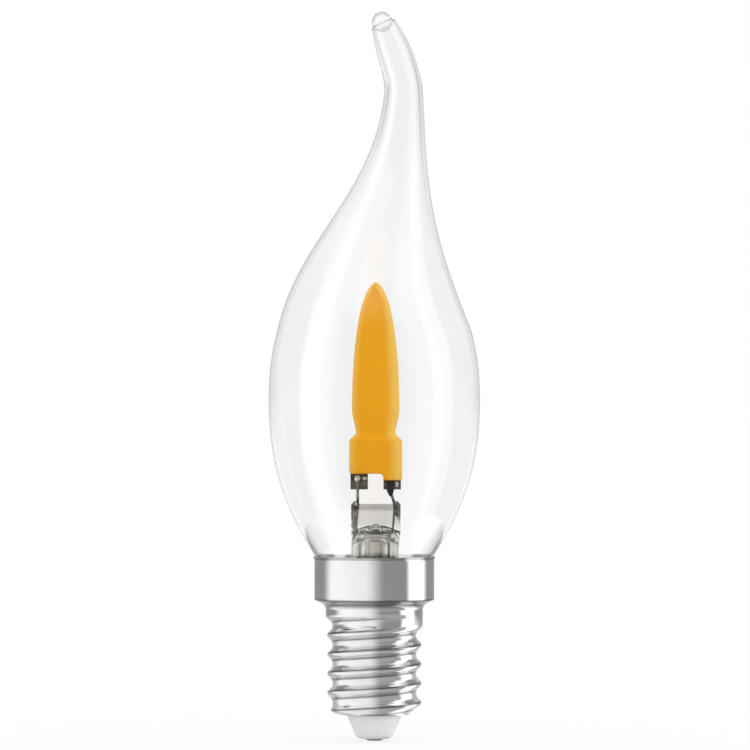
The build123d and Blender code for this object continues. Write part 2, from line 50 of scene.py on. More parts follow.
def rounded(corners, radii, arc_points=13):
    """Outline through corners, each turned into a tangent arc of its radius.

    With h half the angle between a corner's two sides, the arc meets them radius / tan h from the
    corner, and its centre lies radius / sin h away on their bisector.
    """
    corners = np.array(corners, float)
    share = np.linspace(0, 1, arc_points)[:, None]
    runs = [corners[:1]]
    for before, corner, after, radius in zip(corners, corners[1:], corners[2:], radii):
        back = (before - corner) / np.linalg.norm(before - corner)
        ahead = (after - corner) / np.linalg.norm(after - corner)
        half = np.arccos(np.clip(back @ ahead, -1, 1)) / 2
        middle = corner + (back + ahead) / np.linalg.norm(back + ahead) * radius / np.sin(half)
        first = corner + back * radius / np.tan(half) - middle
        last = corner + ahead * radius / np.tan(half) - middle
        sweep = np.pi - 2 * half
        spokes = np.sin((1 - share) * sweep) * first + np.sin(share * sweep) * last
        runs.append(middle + spokes / np.sin(sweep))
    return np.concatenate(runs + [corners[-1:]])


def even(path, step):
    """The same path with its points one step apart, measured along it."""
    run = np.concatenate([[0], np.cumsum(np.linalg.norm(np.diff(path, axis=0), axis=1))])
    at = np.linspace(0, run[-1], int(run[-1] / step) + 2)
    return np.stack([np.interp(at, run, column) for column in path.T], axis=1)


def lathe(profile, around):
    """Rings of a (radius, height) profile: x = radius cos a, y = radius sin a, z = height."""
    angle = np.linspace(0, 2 * np.pi, around, endpoint=False)
    radius, height = profile[:, :1], profile[:, 1:]
    return np.stack([radius * np.cos(angle), radius * np.sin(angle), height + 0 * angle], axis=-1)


def skin(rings, loop=False, cavity=False):
    """Closed surface over rings of points: quads between neighbours, and a fan at each end.

    With loop the last ring joins the first instead. The faces are turned to look out of the
    solid, by the sign of the volume, and out of the solid is inwards for a cavity.
    """
    rows, cols = rings.shape[:2]
    points = rings.reshape(-1, 3)
    index = np.arange(rows * cols).reshape(rows, cols)
    low = index if loop else index[:-1]
    high = np.roll(index, -1, axis=0) if loop else index[1:]
    quads = np.stack([low, np.roll(low, -1, 1), np.roll(high, -1, 1), high], -1).reshape(-1, 4)
    fans = np.zeros((0, 3), int)
    if not loop:
        points = np.concatenate([points, rings[:1].mean(1), rings[-1:].mean(1)])
        bottom = np.stack([np.roll(index[0], -1), index[0], np.full(cols, rows * cols)], -1)
        top = np.stack([index[-1], np.roll(index[-1], -1), np.full(cols, rows * cols + 1)], -1)
        fans = np.concatenate([bottom, top])
    triangles = np.concatenate([quads[:, [0, 1, 2]], quads[:, [0, 2, 3]], fans])
    a, b, c = (points[triangles[:, k]] for k in range(3))
    if (np.einsum("ij,ij->i", a, np.cross(b, c)).sum() < 0) != cavity:
        quads, fans = quads[:, ::-1], fans[:, ::-1]
    return points, quads, fans


def piece(name, node_names, slot, *skins, crease=40):
    """Smooth object of one or more skins in millimetres, riding on the bulb in place of its nodes."""
    starts = np.cumsum([0] + [len(points) for points, _, _ in skins])
    faces = [(part + start).tolist() for start, (_, *both) in zip(starts, skins) for part in both]
    mesh = bpy.data.meshes.new(name)
    mesh.from_pydata(np.concatenate([points for points, _, _ in skins]) * MM, [], sum(faces, []))
    mesh.shade_smooth()
    mesh.set_sharp_from_angle(angle=np.radians(crease))
    thing = bpy.data.objects.new(name, mesh)
    bpy.context.scene.collection.objects.link(thing)
    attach(thing, "root")
    if node_names:
        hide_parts(*node_names)
    return thing


def mottle_group():
    """Group that drifts between two colours and two roughnesses with noise, and gives its height."""
    group = bpy.data.node_groups.new("mottle", "ShaderNodeTree")
    for label in ("Colour", "Second"):
        group.interface.new_socket(label, in_out="INPUT", socket_type="NodeSocketColor")
    for label in ("Scale", "Smooth", "Rough"):
        group.interface.new_socket(label, in_out="INPUT", socket_type="NodeSocketFloat")
    group.interface.new_socket("Colour", in_out="OUTPUT", socket_type="NodeSocketColor")
    for label in ("Roughness", "Height"):
        group.interface.new_socket(label, in_out="OUTPUT", socket_type="NodeSocketFloat")
    nodes, link = group.nodes, group.links.new
    given, gives = nodes.new("NodeGroupInput"), nodes.new("NodeGroupOutput")
    place = nodes.new("ShaderNodeTexCoord")
    noise = nodes.new("ShaderNodeTexNoise")
    noise.inputs["Detail"].default_value = 5
    spread = nodes.new("ShaderNodeMapRange")
    spread.inputs["From Min"].default_value = 0.3
    spread.inputs["From Max"].default_value = 0.7
    blend = nodes.new("ShaderNodeMix")
    blend.data_type = "RGBA"
    rough = nodes.new("ShaderNodeMapRange")
    link(place.outputs["Object"], noise.inputs["Vector"])
    link(given.outputs["Scale"], noise.inputs["Scale"])
    link(noise.outputs["Fac"], spread.inputs["Value"])
    link(spread.outputs["Result"], blend.inputs["Factor"])
    link(given.outputs["Colour"], blend.inputs[MIX_A])
    link(given.outputs["Second"], blend.inputs[MIX_B])
    link(spread.outputs["Result"], rough.inputs["Value"])
    link(given.outputs["Smooth"], rough.inputs["To Min"])
    link(given.outputs["Rough"], rough.inputs["To Max"])
    link(blend.outputs[MIX_OUT], gives.inputs["Colour"])
    link(rough.outputs["Result"], gives.inputs["Roughness"])
    link(spread.outputs["Result"], gives.inputs["Height"])
    return group


mottle = mottle_group()


def finish(name, colour, second, scale, smooth, rough, bump=0.0, **sockets):
    """Material whose colour and roughness drift by the mottle group, with a faint bump from it."""
    made = bpy.data.materials.new(name)
    made.use_nodes = True
    nodes, link = made.node_tree.nodes, made.node_tree.links.new
    shader = nodes["Principled BSDF"]
    drift = nodes.new("ShaderNodeGroup")
    drift.node_tree = mottle
    drift.inputs["Colour"].default_value = (*colour, 1)
    drift.inputs["Second"].default_value = (*second, 1)
    drift.inputs["Scale"].default_value = scale
    drift.inputs["Smooth"].default_value = smooth
    drift.inputs["Rough"].default_value = rough
    link(drift.outputs["Colour"], shader.inputs["Base Color"])
    link(drift.outputs["Roughness"], shader.inputs["Roughness"])
    if bump:
        relief = nodes.new("ShaderNodeBump")
        relief.inputs["Strength"].default_value = bump
        relief.inputs["Distance"].default_value = BUMP_DEPTH
        link(drift.outputs["Height"], relief.inputs["Height"])
        link(relief.outputs["Normal"], shader.inputs["Normal"])
    for socket, value in sockets.items():
        shader.inputs[socket.replace("_", " ")].default_value = value
    return made


contact_outline = rounded(
    [
        (NEAR_AXIS, 0),
        (HEAD_FACE, 0),
        (HEAD_RADIUS, HEAD_HEIGHT),
        (PIN_RADIUS, HEAD_HEIGHT),
        (PIN_RADIUS, PIN_TOP),
        (NEAR_AXIS, PIN_TOP),
    ],
    [HEAD_DOME, HEAD_EDGE, HEAD_ROOT, PIN_EDGE],
)
contact_rings = lathe(even(contact_outline, 0.06), 64)
contact = piece("contact_pin", ["centre_contact"], "contact", skin(contact_rings))
turned_steel = finish(
    "turned_contact", (0.20, 0.195, 0.19), (0.12, 0.115, 0.11), 900, 0.38, 0.55, bump=0.3, Metallic=1.0
)
contact.data.materials.append(turned_steel)

# Insulator. A light grey cone moulded in heat-proof plastic, which holds the contact's pin. Its
# neck passes through the mouth of the shell, and its rim seats on the turned-in edge.

BORE, BORE_SEAM, BORE_EDGE = 1.0, 4.0, 0.05
CONE_FACE, CONE_FACE_EDGE, CONE_RADIUS, CONE_TOP = 2.6, 0.9, 4.05, 3.75
RIM_SEAT, RIM_SEAT_Z, RIM_RADIUS, RIM_Z = 4.5, 4.08, 5.7, 5.3
INSULATOR_TOP, MOULD_EDGE = 5.8, 0.1

insulator_outline = rounded(
    [
        (BORE, BORE_SEAM),
        (BORE, HEAD_HEIGHT),
        (CONE_FACE, HEAD_HEIGHT),
        (CONE_RADIUS, CONE_TOP),
        (CONE_RADIUS, RIM_SEAT_Z),
        (RIM_SEAT, RIM_SEAT_Z),
        (RIM_RADIUS, RIM_Z),
        (RIM_RADIUS, INSULATOR_TOP),
        (BORE, INSULATOR_TOP),
        (BORE, BORE_SEAM),
    ],
    [BORE_EDGE, CONE_FACE_EDGE] + 6 * [MOULD_EDGE],
)
insulator_skin = skin(lathe(even(insulator_outline, 0.1), 96), loop=True)
insulator = piece("insulator_cone", ["cap_insulator"], "insulator", insulator_skin)
insulator.data.materials.append(
    finish("moulded_insulator", (0.76, 0.765, 0.77), (0.72, 0.725, 0.73), 500, 0.28, 0.4, bump=0.15)
)

# Screw shell. Nickel-plated sheet drawn to a skirt and a narrower neck, with the thread rolled
# into its wall. The lip is spread for the glass, and the lower edge turns in under the insulator.

SHEET, MOUTH, SHELL_BOTTOM, CURL = 0.25, 4.1, 3.8, 1.9
ROOT, CREST, PITCH, FIRST_CREST, CREST_SHARPNESS = 6.17, 6.94, 2.822, 5.6, 1.5
THREAD_WALL_TOP, SHELL_NECK, SHELL_NECK_Z, NECK_BEND = 15.4, 7.15, 17.0, 0.6
SHOULDER_Z, SHOULDER_BEND, SKIRT, SKIRT_Z, FOLD_BEND = 19.94, 1.1, 8.82, 20.72, 0.12
FLARE_Z, FLARE_BEND, LIP, LIP_Z = 26.55, 0.5, 9.0, 27.05
MOUTH_FADE = 4.8, 6.1  # radii between which the groove deepens
NECK_FADE = 16.95, 18.1  # heights of the groove's middle over which it runs out
TOP_FADE = 18.1, 18.8  # heights over which any groove left is gone
# Painted shade on the sheet's outside: lines over and under each crest, the corner and fold under the skirt,
# and the lip.
LINE_OVER, LINE_UNDER, LINE_UNDER_SHARE = (0.22, 0.14), (-0.9, 0.15), 0.8
FOLD_SHADE, FOLD_REACH = (20.7, 0.17), 8
CORNER_SHADE, CORNER_SHARE, CORNER_REACH = (19.3, 20.1), 0.75, 8.6
LIP_SHADE, LIP_SHARE = (26.6, 26.75), 0.5


def smooth_step(value, start, end):
    """Rises from 0 at start to 1 at end along the cubic 3s^2 - 2s^3."""
    share = np.clip((value - start) / (end - start), 0, 1)
    return share**2 * (3 - 2 * share)


def bell(value, middle, width):
    """A line's soft section: exp(-((value - middle) / width)^2)."""
    return np.exp(-(((value - middle) / width) ** 2))


def shell_outline():
    """Points of (radius, height) along the sheet's outside, from the mouth to the lip."""
    corners = [
        (MOUTH, SHELL_BOTTOM),
        (CREST, SHELL_BOTTOM),
        (CREST, THREAD_WALL_TOP),
        (SHELL_NECK, SHELL_NECK_Z),
        (SHELL_NECK, SHOULDER_Z),
        (SKIRT, SKIRT_Z),
        (SKIRT, FLARE_Z),
        (LIP, LIP_Z),
    ]
    return even(rounded(corners, [CURL, NECK_BEND, NECK_BEND, SHOULDER_BEND, FOLD_BEND, FLARE_BEND]), 0.11)


def rolled_thread(outline, angle):
    """Depth of the groove at each point, its full depth there, and the height over the nearest crest.

    The groove's section is 1 - ((1 + cos p) / 2)^sharpness, where the phase p is the height over the
    pitch less the angle, so the crest climbs one pitch a turn. The groove gets shallow as its middle
    climbs into the neck, and ends on the turned-in edge below.
    """
    radius, height = outline[:, :1], outline[:, 1:]
    phase = 2 * np.pi * (height - FIRST_CREST) / PITCH - angle
    section = 1 - ((1 + np.cos(phase)) / 2) ** CREST_SHARPNESS
    groove_middle = FIRST_CREST + PITCH * (np.floor(phase / (2 * np.pi)) + 0.5 + angle / (2 * np.pi))
    full = (1 - smooth_step(groove_middle, *NECK_FADE)) * smooth_step(radius, *MOUTH_FADE)
    full = full * (1 - smooth_step(height, *TOP_FADE))
    over_crest = (np.mod(phase + np.pi, 2 * np.pi) - np.pi) * PITCH / (2 * np.pi)
    return section * full, full, over_crest


def painted_shade_places(outline, full, over_crest):
    """How much painted shade each point of the outside gets, from 0 to 1.

    Painted shade lies in a line over each crest and a painted reflection in a line under it, painted
    shadow in the corner and the fold under the skirt, and painted shade on the lip.
    """
    radius, height = outline[:, :1], outline[:, 1:]
    painted_crest_lines = bell(over_crest, *LINE_OVER) + LINE_UNDER_SHARE * bell(over_crest, *LINE_UNDER)
    corner = CORNER_SHARE * smooth_step(height, *CORNER_SHADE) * (radius < CORNER_REACH)
    fold = bell(height, *FOLD_SHADE) * (radius > FOLD_REACH)
    lip = LIP_SHARE * smooth_step(height, *LIP_SHADE)
    return np.maximum(painted_crest_lines * smooth_step(full, 0.1, 0.5), np.maximum(fold, corner) + lip)


def shell_rings(outline, angle, groove, inset):
    """Rings of the sheet, moved in by inset square to its outline.

    The radius is the outline's, less the groove's depth times the way from the crest to the root.
    """
    along = np.gradient(outline, axis=0)
    along /= np.linalg.norm(along, axis=1, keepdims=True)
    radius = outline[:, :1] - inset * along[:, 1:]
    height = outline[:, 1:] + inset * along[:, :1]
    reach = radius - (np.maximum(outline[:, :1], CREST) - ROOT) * groove
    return np.stack([reach * np.cos(angle), reach * np.sin(angle), height + 0 * angle], -1)


def mark(thing, name, values):
    """Stores one value per point on a piece's mesh, for its material to read."""
    store = thing.data.attributes.new(name, "FLOAT", "POINT")
    store.data.foreach_set("value", np.ravel(values).astype(np.float32))


def reading(made, name):
    """Output that reads a value stored on the mesh."""
    reader = made.node_tree.nodes.new("ShaderNodeAttribute")
    reader.attribute_name = name
    return reader.outputs["Fac"]


def ranged(made, value, start, end, low, high, kind="LINEAR"):
    """Output that goes from low to high as the value goes from start to end."""
    scale = made.node_tree.nodes.new("ShaderNodeMapRange")
    scale.interpolation_type = kind
    for socket, number in (("From Min", start), ("From Max", end), ("To Min", low), ("To Max", high)):
        scale.inputs[socket].default_value = number
    made.node_tree.links.new(value, scale.inputs["Value"])
    return scale.outputs["Result"]


def cover(made, mask, colour):
    """Lays a colour over what already feeds the base colour, as far as the mask says."""
    link = made.node_tree.links.new
    base = made.node_tree.nodes["Principled BSDF"].inputs["Base Color"]
    over = made.node_tree.nodes.new("ShaderNodeMix")
    over.data_type = "RGBA"
    over.inputs[MIX_B].default_value = (*colour, 1)
    link(mask, over.inputs["Factor"])
    link(base.links[0].from_socket, over.inputs[MIX_A])
    link(over.outputs[MIX_OUT], base)


sheet_outline = shell_outline()
shell_angle = np.linspace(0, 2 * np.pi, 168, endpoint=False)
groove, full_depth, over_crest = rolled_thread(sheet_outline, shell_angle)
painted_shade = painted_shade_places(sheet_outline, full_depth, over_crest)
outside = shell_rings(sheet_outline, shell_angle, groove, 0)
inside = shell_rings(sheet_outline, shell_angle, groove, SHEET)
shell_skin = skin(np.concatenate([outside, inside[::-1]]), loop=True)
shell = piece("screw_shell_sheet", ["screw_shell"], "cap_metal", shell_skin)
mark(shell, "crest", 1 - np.concatenate([groove, groove[::-1]]))
mark(shell, "painted_shade", np.concatenate([painted_shade, 0 * painted_shade]))

nickel = finish(
    "nickel_plate", (0.735, 0.735, 0.73), (0.69, 0.69, 0.685), 220, 0.05, 0.085, bump=0.03, Metallic=1.0
)
on_crest = reading(nickel, "crest")
nodes, link = nickel.node_tree.nodes, nickel.node_tree.links.new
shader, drift = nodes["Principled BSDF"], nodes["Group"]
tarnish = nodes.new("ShaderNodeMix")
tarnish.data_type = "RGBA"
tarnish.blend_type = "MULTIPLY"
tarnish.inputs["Factor"].default_value = 1.0
link(drift.outputs["Colour"], tarnish.inputs[MIX_A])
link(ranged(nickel, on_crest, 0, 1, 0.96, 1), tarnish.inputs[MIX_B])
link(tarnish.outputs[MIX_OUT], shader.inputs["Base Color"])
satin = nodes.new("ShaderNodeMath")
link(drift.outputs["Roughness"], satin.inputs[0])
link(ranged(nickel, on_crest, 0, 1, 0.07, 0), satin.inputs[1])
link(satin.outputs[0], shader.inputs["Roughness"])
# Painted shade: lays near-black over the nickel as far as the painted shade mask says.
cover(nickel, reading(nickel, "painted_shade"), (0.09, 0.09, 0.09))
shell.data.materials.append(nickel)

# Driver. A small board stands across the inside of the threaded wall with its chip, rectifier,
# capacitor and fuse resistor soldered on, and bare wires run to the contact and to the shell.


def dress(node_names, made):
    """Gives a material to CAD nodes that keep their own solids."""
    for node_name in node_names:
        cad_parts[node_name].data.materials.clear()
        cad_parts[node_name].data.materials.append(made)


solder_mask = finish("solder_mask", (0.07, 0.24, 0.11), (0.05, 0.19, 0.09), 600, 0.35, 0.5, bump=0.1)
chip_black = finish("chip_moulding", (0.03, 0.03, 0.03), (0.045, 0.045, 0.045), 1500, 0.5, 0.65, bump=0.2)
sleeve = finish("capacitor_sleeve", (0.09, 0.09, 0.11), (0.12, 0.12, 0.14), 700, 0.3, 0.45)
lacquer = finish("resistor_lacquer", (0.30, 0.40, 0.34), (0.25, 0.34, 0.29), 900, 0.25, 0.4)
tinned = finish("tinned_wire", (0.62, 0.60, 0.57), (0.52, 0.50, 0.48), 1200, 0.25, 0.4, Metallic=1.0)
dress(["driver_board"], solder_mask)
dress(["driver_chip", "rectifier"], chip_black)
dress(["capacitor"], sleeve)
dress(["fuse_resistor"], lacquer)
dress(["contact_wire", "shell_wire"], tinned)

# Stem. A tube of lead glass, flared and melted to the envelope's neck. Its hot top is pressed flat
# round the leads, and the exhaust tube drops from its roof, with the air's way out left as an eye.

FLARE_RIM_Z, TUBE, TUBE_Z, PRESS_TOP, TOP_ROUND = 21.6, 3.5, 27.0, 34.65, 0.2
PRESS_WIDENING, PRESS_SQUARENESS, SQUARED_Z = 0.15, 2.2, (29.0, 31.6)
PRESS_HALF_DEPTH, PRESSED_Z, SIDES_LOWER = 1.05, (30.1, 31.8), 0.08
TOP_THICKENING, TOP_THICKENING_Z = 0.3, (34.0, 34.6)
EDGE_BEAD, EDGE_BEAD_DEPTH, EDGE_BEAD_RISE, EDGE_BEAD_RISE_Z = (3.05, 0.38), 0.3, 0.45, (34.3, 34.8)
HOLLOW, EXHAUST, EXHAUST_BORE, EXHAUST_TIP_Z = 2.7, 1.5, 0.85, 17.05
STEM_SHIFT, STEM_SHIFT_Z = 0.22, (26, 31)
# Painted shade: how far the press, and more its top rim, are greyed for the dark look of thick glass.
PRESS_SHADE, PRESS_SHADE_Z, TOP_SHADE, TOP_SHADE_Z = 0.45, (31.2, 32.2), 0.55, (33.7, 34.1)
AROUND_STEM = 112


def curve(*points, count=40):
    """Bezier curve of the points: each weighs binomial * share^k * (1 - share)^(n - k)."""
    share = np.linspace(0, 1, count)[:, None]
    path = [np.array(point, float) + 0 * share for point in points]
    while len(path) > 1:
        path = [a * (1 - share) + b * share for a, b in zip(path, path[1:])]
    return path[0]


def flattened(profile, around):
    """Rings of (half width, half depth, corner power, height) rows, each a superellipse.

    x = width |cos a|^(2/n) and y = depth |sin a|^(2/n), with the signs of the cosine and the sine.
    """
    angle = np.linspace(0, 2 * np.pi, around, endpoint=False)
    width, depth, power, height = (profile[:, k : k + 1] for k in range(4))
    x = width * np.sign(np.cos(angle)) * np.abs(np.cos(angle)) ** (2 / power)
    y = depth * np.sign(np.sin(angle)) * np.abs(np.sin(angle)) ** (2 / power)
    return np.stack([x, y, height + 0 * angle], -1)


def shifted(rings):
    """Rings moved to +X by a smooth step of their height, as the press stands a little to the right."""
    rings[..., 0] += STEM_SHIFT * smooth_step(rings[..., 2], *STEM_SHIFT_Z)
    return rings


def stem_outside():
    """Rings of the stem from its flared rim to the top of the press.

    The radius follows a trumpet to the tube, then the section goes from round to nearly square
    while its depth eases to the press, lower at the sides than in the middle. A bead of glass runs
    up both edges round the leads, and the last rings close over the top.
    """
    trumpet = curve((7.5, FLARE_RIM_Z), (7.5, 22.3), (4.3, 22.6), (3.55, 24.5), (TUBE, TUBE_Z))
    tube = np.stack([np.full(60, TUBE), np.linspace(TUBE_Z, PRESS_TOP, 60)], 1)
    radius, height = even(np.concatenate([trumpet, tube[1:]]), 0.14).T
    squared = smooth_step(height, *SQUARED_Z)
    wall = np.stack([radius + PRESS_WIDENING * squared, radius, 2 + PRESS_SQUARENESS * squared, height], 1)
    share = np.linspace(0, 1, 26)[1:-1]
    closing = np.cos(share * np.pi / 2) ** 0.7
    over = PRESS_TOP + TOP_ROUND * np.sin(np.minimum(share * 6, 1) * np.pi / 2)
    power = np.full(len(share), 2 + PRESS_SQUARENESS)
    top = np.stack([(TUBE + PRESS_WIDENING) * closing, TUBE * closing, power, over], 1)
    rings = flattened(np.concatenate([wall, top]), AROUND_STEM)
    edge = bell(np.abs(rings[..., 0]), *EDGE_BEAD)
    thickening = TOP_THICKENING * smooth_step(rings[..., 2], *TOP_THICKENING_Z)
    half_depth = PRESS_HALF_DEPTH + EDGE_BEAD_DEPTH * edge + thickening
    pressed = smooth_step(rings[..., 2] + SIDES_LOWER * rings[..., 0] ** 2, *PRESSED_Z)
    rings[..., 1] *= 1 - pressed * (1 - half_depth / TUBE)
    rings[..., 2] += EDGE_BEAD_RISE * edge * smooth_step(rings[..., 2], *EDGE_BEAD_RISE_Z)
    return shifted(rings)


hollow = np.concatenate([
    curve((7.0, FLARE_RIM_Z), (6.6, 21.9), (3.6, 22.2), (2.75, 24.6), (HOLLOW, TUBE_Z)),
    curve((HOLLOW, 27.2), (HOLLOW, 29.6), (2.5, 30.4), (1.75, 30.4), (1.55, 29.8), (EXHAUST, 28.5)),
    rounded([(EXHAUST, 28.4), (EXHAUST, 19.0), (0.6, EXHAUST_TIP_Z), (0.03, EXHAUST_TIP_Z)], [0.8, 0.4]),
])
passage = np.concatenate([
    rounded([(0.03, 18.3), (0.4, 18.3), (EXHAUST_BORE, 19.6), (EXHAUST_BORE, 28.2)], [0.2, 0.4]),
    curve((EXHAUST_BORE, 28.4), (EXHAUST_BORE, 29.2), (1.15, 29.6), (1.12, 30.8), (0.9, 32.0), (0.03, 32.05)),
])
hollow_rings = shifted(lathe(even(hollow, 0.2), AROUND_STEM))
passage_rings = shifted(lathe(even(passage, 0.15), 64))
stem_skin = skin(np.concatenate([hollow_rings[::-1], stem_outside()]))
passage_skin = skin(passage_rings, cavity=True)
stem = piece("pressed_stem", ["glass_stem", "exhaust_tube"], "stem_glass", stem_skin, passage_skin)
stem_z = np.concatenate([stem_skin[0], passage_skin[0]])[:, 2]
# Painted shade, greying the press and darkening its top rim.
painted_press_shade = PRESS_SHADE * smooth_step(stem_z, *PRESS_SHADE_Z) + TOP_SHADE * smooth_step(stem_z, *TOP_SHADE_Z)
mark(stem, "pressed", painted_press_shade)


def glass(name, colour, second, scale, haze, bump):
    """Clear glass whose tint and haze drift a little."""
    return finish(name, colour, second, scale, *haze, bump=bump, Transmission_Weight=1.0, IOR=1.46)


pressed_glass = glass("pressed_glass", (0.91, 0.895, 0.865), (0.83, 0.815, 0.78), 350, (0.1, 0.26), 0.3)
# Painted shade: the pressed value lays dark grey over the press and its top rim.
cover(pressed_glass, reading(pressed_glass, "pressed"), (0.50, 0.49, 0.47))
stem.data.materials.append(pressed_glass)

# Lead wires. Drawn nickel wire sealed through the press, soldered to the board below and bent up
# to the strip's feet above. The length in the glass is borated, and shows as a thicker sleeve.

SEAL_HALF_WIDTH, SEAL_HALF_DEPTH, SEAL_Z, SEAL_LENGTH = 0.36, 0.27, 32.0, 3.0
BORATED, BORATED_DARK = np.array((1, 0.93, 0.84)), np.array((0.5, 0.47, 0.42))

drawn_nickel = finish(
    "drawn_nickel", (0.42, 0.40, 0.38), (0.33, 0.31, 0.30), 1500, 0.25, 0.4, Metallic=1.0
)
dress(["lead_wire_left", "lead_wire_right"], drawn_nickel)
rise = np.linspace(0, 1, 30)
swell = np.sin(np.pi * rise**1.6) ** 0.5 * (0.35 + 0.65 * rise) + 0.02
seal_profile = np.stack(
    [SEAL_HALF_WIDTH * swell, SEAL_HALF_DEPTH * swell, 2 + 0 * rise, SEAL_Z + SEAL_LENGTH * rise], 1
)
# Painted light and shade: the left seal is a shaded copy of the borated colour, at 0.15, and the right one a
# lit copy, at 0.6.
for side, middle, shade in (("left", -2.95, 0.15), ("right", 3.38, 0.6)):
    seal_rings = flattened(seal_profile, 32)
    seal_rings[..., 0] += middle
    seal = piece(f"lead_seal_{side}", [], "lead_wire", skin(seal_rings))
    borated = finish(
        f"borated_wire_{side}", shade * BORATED, shade * BORATED_DARK, 1800, 0.4, 0.6, bump=0.3
    )
    seal.data.materials.append(borated)

# LED strip. Chips bonded in a row on each face of a flame-shaped ceramic plate. Each of the plate's
# two feet is metalled, and has a folded terminal of tinned sheet, dulled by the soldering.

FOOT_TOP, FOOT_EDGE = 39.4 * MM, 0.1 * MM

ceramic = finish("ceramic_plate", (0.74, 0.72, 0.66), (0.66, 0.63, 0.56), 800, 0.5, 0.65, bump=0.1)
nodes, link = ceramic.node_tree.nodes, ceramic.node_tree.links.new
place, axes = nodes.new("ShaderNodeTexCoord"), nodes.new("ShaderNodeSeparateXYZ")
link(place.outputs["Object"], axes.inputs[0])
metalled = ranged(ceramic, axes.outputs["Z"], FOOT_TOP, FOOT_TOP - FOOT_EDGE, 0, 1)
link(metalled, nodes["Principled BSDF"].inputs["Metallic"])
cover(ceramic, metalled, (0.22, 0.19, 0.15))
blue_chip = finish("blue_chip", (0.30, 0.36, 0.55), (0.24, 0.30, 0.48), 2500, 0.15, 0.25)
terminal = finish(
    "tinned_terminal", (0.34, 0.29, 0.22), (0.13, 0.11, 0.085), 1400, 0.35, 0.55, bump=0.4, Metallic=0.7
)
dress(["strip_plate"], ceramic)
dress(["led_chips"], blue_chip)
dress(["terminal_left", "terminal_right"], terminal)

# Phosphor coat. Soft silicone loaded with phosphor powder, moulded round the plate in the shape of
# a flame on a block. It is paler where it thins at its edges, paler still on its right edge as a
# painted highlight, and runs lower over the right foot.

BLOCK, BLOCK_Z, BLOCK_TOP = 3.9, 39.3, 44.2
WAIST, WAIST_Z, PETAL, PETAL_Z, FLAME_TIP_Z = 2.95, 45.5, 3.5, 48.8, 67.3
COAT_FLATNESS, COAT_OFFSET = 0.42, 0.2
BLOCK_POWER, FLAME_POWER, ROUNDED_Z = 3.4, 2.1, (43.5, 46.5)
RUN_DOWN, RUN_DOWN_X, RUN_DOWN_Z = 0.95, (0.85, 1.4), (BLOCK_Z, 42.0)
RIGHT_HIGHLIGHT_SHARE, TIP_SHARE, TIP_THIN_Z = 0.12, 0.55, (64.5, FLAME_TIP_Z)


def flame_outline():
    """Half width against height: a block, a waist, and a flame of two Bezier curves."""
    block_corners = [
        (0.04, BLOCK_Z), (BLOCK, BLOCK_Z), (BLOCK, BLOCK_TOP), (2.92, 45.1), (WAIST, WAIST_Z)
    ]
    block = rounded(block_corners, [0.3, 0.25, 0.2])
    cheek = curve((WAIST, WAIST_Z), (3.0, 46.6), (PETAL, 47.4), (PETAL, PETAL_Z))
    flame = curve((PETAL, PETAL_Z), (PETAL, 56.8), (2.5, 66.55), (0.03, FLAME_TIP_Z), count=80)
    return even(np.concatenate([block, cheek[1:], flame[1:]]), 0.16)


half_width, coat_z = flame_outline().T
power = BLOCK_POWER - (BLOCK_POWER - FLAME_POWER) * smooth_step(coat_z, *ROUNDED_Z)
coat_rings = flattened(np.stack([half_width, COAT_FLATNESS * half_width, power, coat_z], 1), 120)
over_right_foot = smooth_step(coat_rings[..., 0], *RUN_DOWN_X)
coat_rings[..., 2] -= RUN_DOWN * over_right_foot * (1 - smooth_step(coat_rings[..., 2], *RUN_DOWN_Z))
aside = coat_rings[..., 0] / np.maximum(half_width[:, None], 0.05)
# Painted highlight: the right edge gets an extra share of paleness.
thin_and_highlit = np.abs(aside) + RIGHT_HIGHLIGHT_SHARE * np.clip(4 * aside, -1, 1)
thin_and_highlit = thin_and_highlit + TIP_SHARE * smooth_step(coat_z, *TIP_THIN_Z)[:, None]
coat_rings[..., 0] += COAT_OFFSET
coat = piece("phosphor_flame", ["phosphor_coat"], "phosphor", skin(coat_rings), crease=60)
mark(coat, "thin_and_highlit", np.concatenate([thin_and_highlit.ravel(), [0, 0]]))

phosphor = finish(
    "phosphor_silicone", (0.95, 0.415, 0.0), (0.92, 0.385, 0.0), 400, 0.28, 0.36, bump=0.08,
    Specular_IOR_Level=0.12,
)
# Paler where the coat thins, with a painted highlight on its right edge.
pale = ranged(phosphor, reading(phosphor, "thin_and_highlit"), 0.5, 1, 0, 0.9, "SMOOTHSTEP")
cover(phosphor, pale, (0.97, 0.60, 0.11))
coat.data.materials.append(phosphor)

# Joints. The left lead is held by bright solder that has crept along the foot, and the right one by
# a drop of dark conductive glue, drawn down along the wire.


def drop(middle, size, lumps, taper):
    """Rings of an uneven drop: an ellipsoid that swells by lumps sin 3a and narrows downwards."""
    rise = np.linspace(-1, 1, 40)[1:-1, None] * 0.999
    angle = np.linspace(0, 2 * np.pi, 48, endpoint=False)
    radius = np.sqrt(1 - rise**2) * (1 + lumps * np.sin(3 * angle + 4 * rise)) * (1 + taper * rise)
    unit = np.stack([radius * np.cos(angle), radius * np.sin(angle), rise + 0 * angle], -1)
    return np.array(middle) + unit * np.array(size)


